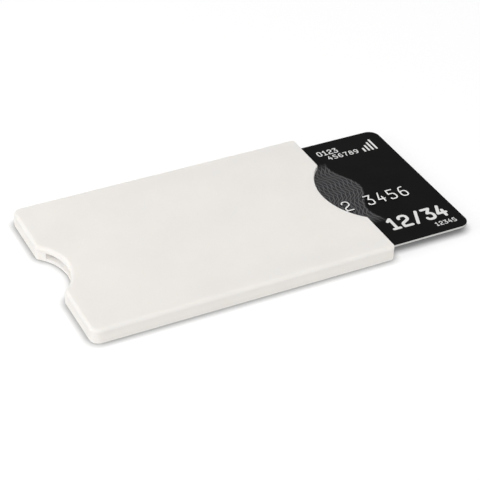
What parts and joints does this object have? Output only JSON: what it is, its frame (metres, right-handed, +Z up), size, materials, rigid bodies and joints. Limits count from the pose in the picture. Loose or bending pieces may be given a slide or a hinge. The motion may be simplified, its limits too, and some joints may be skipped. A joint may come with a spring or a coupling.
{
  "type": "card sleeve",
  "caption": "Flat hard-plastic sleeve lined with shielding foil for a bank card, with a thumb notch in the closed end, a round cut-out at the mouth, and a card that slides out.",
  "frame": {"origin": "centre of the sleeve's flat underside, on the surface that it lies on", "axes": "+X along the sleeve towards its open mouth, +Y across it towards the card's top edge, +Z up out of the face that shows the card's front"},
  "size_m": [0.1141, 0.0598, 0.0043],
  "materials": {
    "shell_plastic": "warm white moulded ABS with a fine satin texture",
    "shield_foil": "bright rolled foil",
    "card_black_film": "black printed film under a clear satin overlay",
    "card_white_core": "white PVC sheet, seen at the card's edge",
    "card_inlay": "white PVC inlay sheet",
    "coil_copper": "etched copper",
    "magnetic_coating": "dark brown magnetic coating",
    "contact_gold": "gold-plated contacts",
    "chip_tape": "glass-epoxy tape",
    "chip_resin": "black cast resin"
  },
  "bodies": {
    "sleeve": {"upper_shell": "shell_plastic", "lower_shell": "shell_plastic", "upper_shield_foil": "shield_foil", "lower_shield_foil": "shield_foil"},
    "card": {"card_front_film": "card_black_film", "card_front_core": "card_white_core", "card_antenna_inlay": "card_inlay", "card_antenna_coil": "coil_copper", "card_back_core": "card_white_core", "card_back_film": "card_black_film", "card_magnetic_stripe": "magnetic_coating", "chip_contact_pads": "contact_gold", "chip_carrier_tape": "chip_tape", "chip_capsule": "chip_resin"}
  },
  "joints": [
    {"name": "card_slide", "type": "slide", "parent": "sleeve", "child": "card", "axis": [1, 0, 0], "range_m": [-0.0261, 0.065]}
  ]
}
